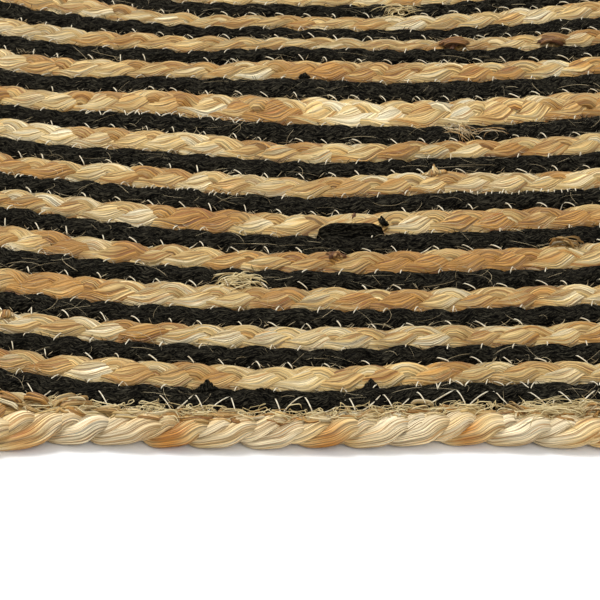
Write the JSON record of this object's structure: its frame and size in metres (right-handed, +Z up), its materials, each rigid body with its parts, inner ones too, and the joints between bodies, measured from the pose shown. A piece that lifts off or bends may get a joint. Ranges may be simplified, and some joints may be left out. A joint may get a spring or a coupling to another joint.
{
  "type": "round braided jute rug",
  "caption": "Flat round rug of natural jute and black braids wound in a spiral, zigzag stitched row to row, with a heavier braid round the edge.",
  "frame": {"origin": "on the floor, under the middle of the rug's outline", "axes": "+Z up, out of the rug's face; -Y towards the side of the edge that the picture shows"},
  "size_m": [0.9084, 0.9018, 0.007],
  "materials": {
    "jute": "flat three-strand braid of natural jute, golden straw with pale and brown strands",
    "black_jute": "narrower braid of black fibre, matt and fuzzy",
    "edge_jute": "thicker natural jute braid with long slanting lobes",
    "thread": "cream cotton sewing thread in a zigzag over each join"
  },
  "bodies": {
    "root": {"jute_braid": "jute", "black_braid": "black_jute", "edge_braid": "edge_jute"}
  },
  "joints": []
}
